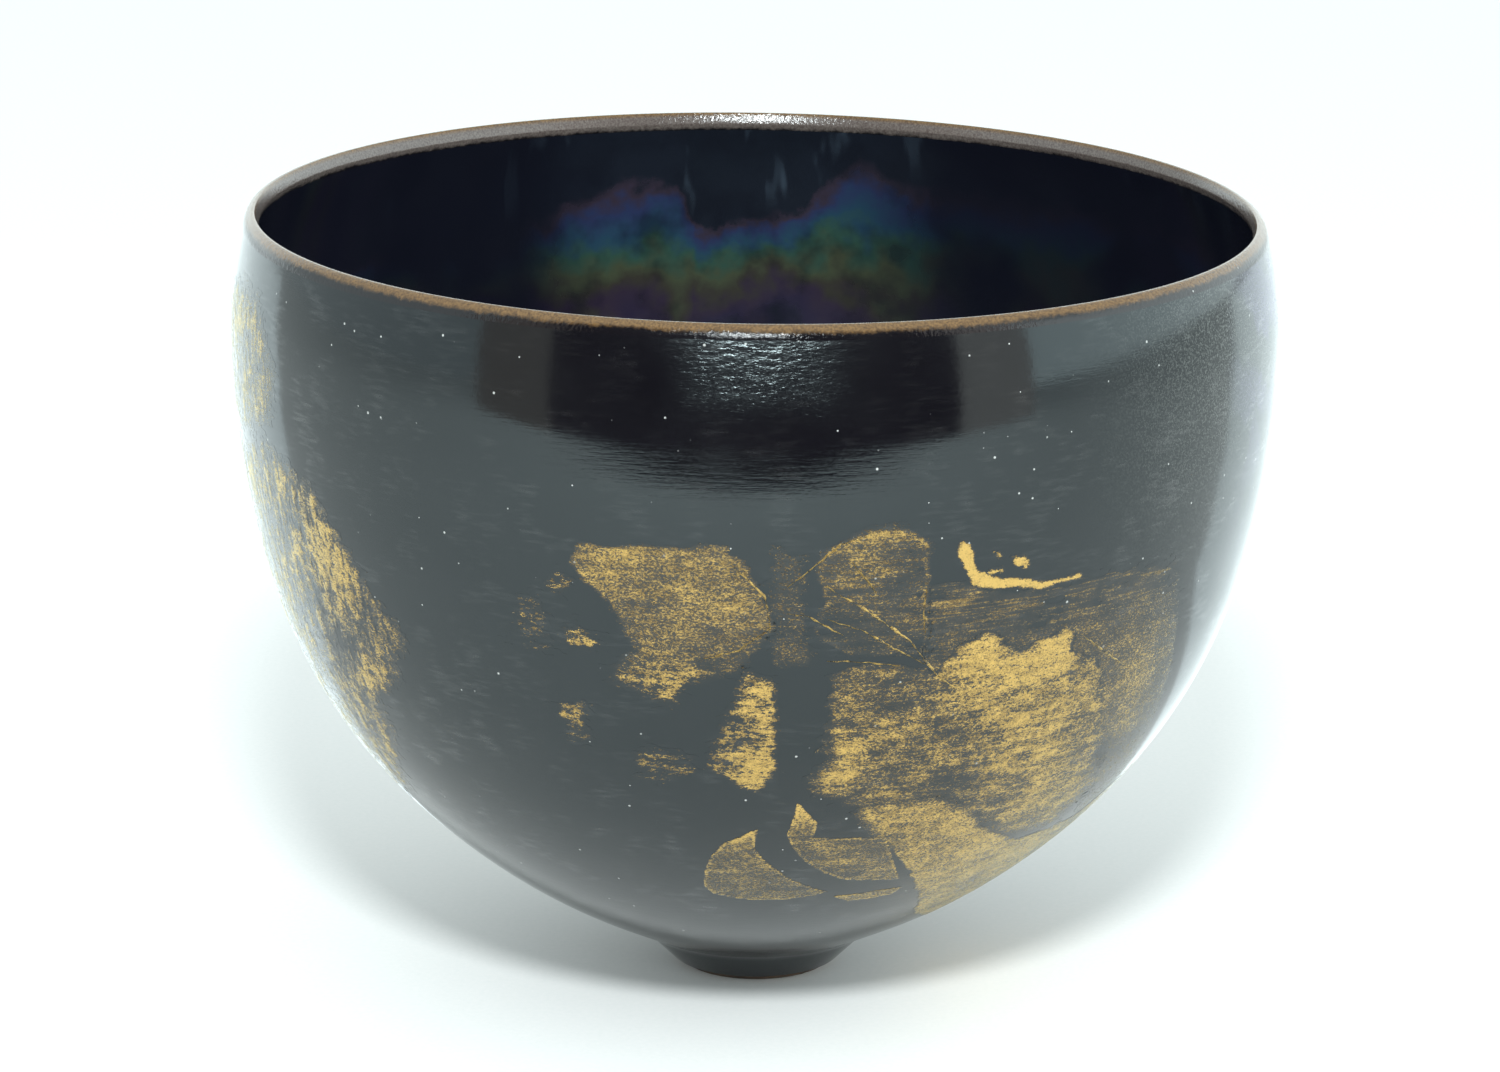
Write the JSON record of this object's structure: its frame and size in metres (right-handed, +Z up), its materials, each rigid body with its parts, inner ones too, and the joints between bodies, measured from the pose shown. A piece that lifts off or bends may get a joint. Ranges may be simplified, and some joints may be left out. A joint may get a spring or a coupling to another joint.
{
  "type": "small-footed tea bowl with gold leaf",
  "caption": "Thin-walled turned ceramic bowl on a very small foot, black glaze, iron-brown lip, sheen inside, torn scraps of gold leaf on the outside",
  "frame": {"origin": "middle of the foot's contact plane, on the axis of the pot", "axes": "+Z up through the middle of the mouth, -Y towards the front with the crescents of gold, +X to the right"},
  "size_m": [0.112, 0.112, 0.084],
  "materials": {
    "clay": "matte",
    "black_glaze": "gloss",
    "sheen_glaze": "gloss",
    "iron_glaze": "gloss",
    "gold_leaf": "satin"
  },
  "bodies": {
    "root": {"clay_wall": "clay", "foot_ring": "clay", "gold_fleck_left_foot": "gold_leaf", "gold_fleck_left_high": "gold_leaf", "gold_fleck_left_low": "gold_leaf", "gold_fleck_left_middle": "gold_leaf", "gold_fleck_left_outer": "gold_leaf", "gold_fleck_right_high": "gold_leaf", "gold_fleck_right_low": "gold_leaf", "gold_fleck_right_round": "gold_leaf", "gold_leaf_back_lower": "gold_leaf", "gold_leaf_back_upper": "gold_leaf", "gold_leaf_core": "gold_leaf", "gold_leaf_crescent_left": "gold_leaf", "gold_leaf_crescent_right": "gold_leaf", "gold_leaf_drip": "gold_leaf", "gold_leaf_half_disc": "gold_leaf", "gold_leaf_lower_right": "gold_leaf", "gold_leaf_side_lower": "gold_leaf", "gold_leaf_side_upper": "gold_leaf", "gold_leaf_sliver": "gold_leaf", "gold_leaf_thin_strip": "gold_leaf", "gold_leaf_upper_left": "gold_leaf", "gold_leaf_upright_strip": "gold_leaf", "gold_leaf_veil": "gold_leaf", "gold_leaf_wrap_right": "gold_leaf", "inner_glaze": "sheen_glaze", "lip_glaze": "iron_glaze", "outer_glaze": "black_glaze"}
  },
  "joints": []
}
